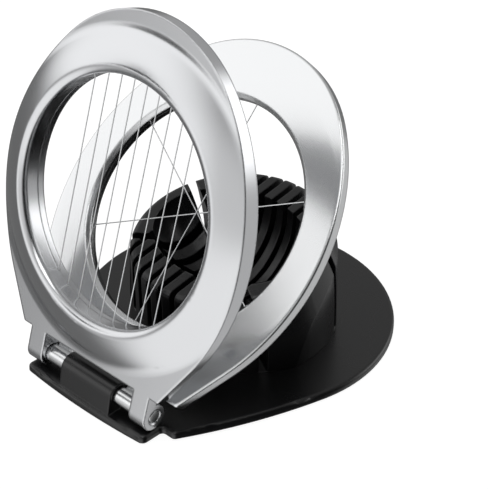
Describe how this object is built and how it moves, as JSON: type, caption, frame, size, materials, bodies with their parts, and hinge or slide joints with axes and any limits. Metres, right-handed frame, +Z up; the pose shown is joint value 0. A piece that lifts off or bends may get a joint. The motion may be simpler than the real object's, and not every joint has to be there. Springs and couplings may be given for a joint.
{
  "type": "egg slicer",
  "caption": "Hinged egg slicer: a slotted cup on a flat base, with a frame of parallel wires for slices and a frame of crossed wires for wedges on one pin.",
  "frame": {"origin": "under the middle of the base, on the plane that the feet stand on", "axes": "+X along the hinge pin, +Y from the pin towards the cup, +Z up"},
  "size_m": [0.11, 0.128, 0.1274],
  "materials": {
    "black_plastic": "injection-moulded black ABS with a fine satin surface",
    "satin_chrome": "die-cast alloy, polished and bright plated with soft reflections",
    "mirror_chrome": "die-cast alloy, mirror polished and bright plated",
    "wire_steel": "drawn stainless steel wire",
    "pin_steel": "turned stainless steel",
    "screw_steel": "zinc-plated steel screw",
    "rubber": "moulded black rubber"
  },
  "bodies": {
    "base": {"base_plate": "black_plastic", "egg_cup": "black_plastic", "hinge_pin": "pin_steel", "cup_screws": "screw_steel", "rubber_foot_1": "rubber", "rubber_foot_2": "rubber", "rubber_foot_3": "rubber", "rubber_foot_4": "rubber"},
    "wedger": {"wedger_frame": "mirror_chrome", "wedger_back_ring": "mirror_chrome", "wedger_ring_screws": "screw_steel", "wedger_wire_1": "wire_steel", "wedger_wire_2": "wire_steel", "wedger_wire_3": "wire_steel"},
    "slicer": {"slicer_frame": "satin_chrome", "slicer_back_ring": "satin_chrome", "slicer_ring_screws": "screw_steel", "slicer_wire_1": "wire_steel", "slicer_wire_2": "wire_steel", "slicer_wire_3": "wire_steel", "slicer_wire_4": "wire_steel", "slicer_wire_5": "wire_steel", "slicer_wire_6": "wire_steel", "slicer_wire_7": "wire_steel", "slicer_wire_8": "wire_steel", "slicer_wire_9": "wire_steel"}
  },
  "joints": [
    {"name": "wedger_hinge", "type": "hinge", "parent": "base", "child": "wedger", "pos_m": [0, -0.057, 0.0085], "axis": [1, 0, 0], "range_deg": [-46, 49]},
    {"name": "slicer_hinge", "type": "hinge", "parent": "wedger", "child": "slicer", "pos_m": [0, -0.057, 0.0085], "axis": [1, 0, 0], "range_deg": [-27.5, 47.5]}
  ]
}
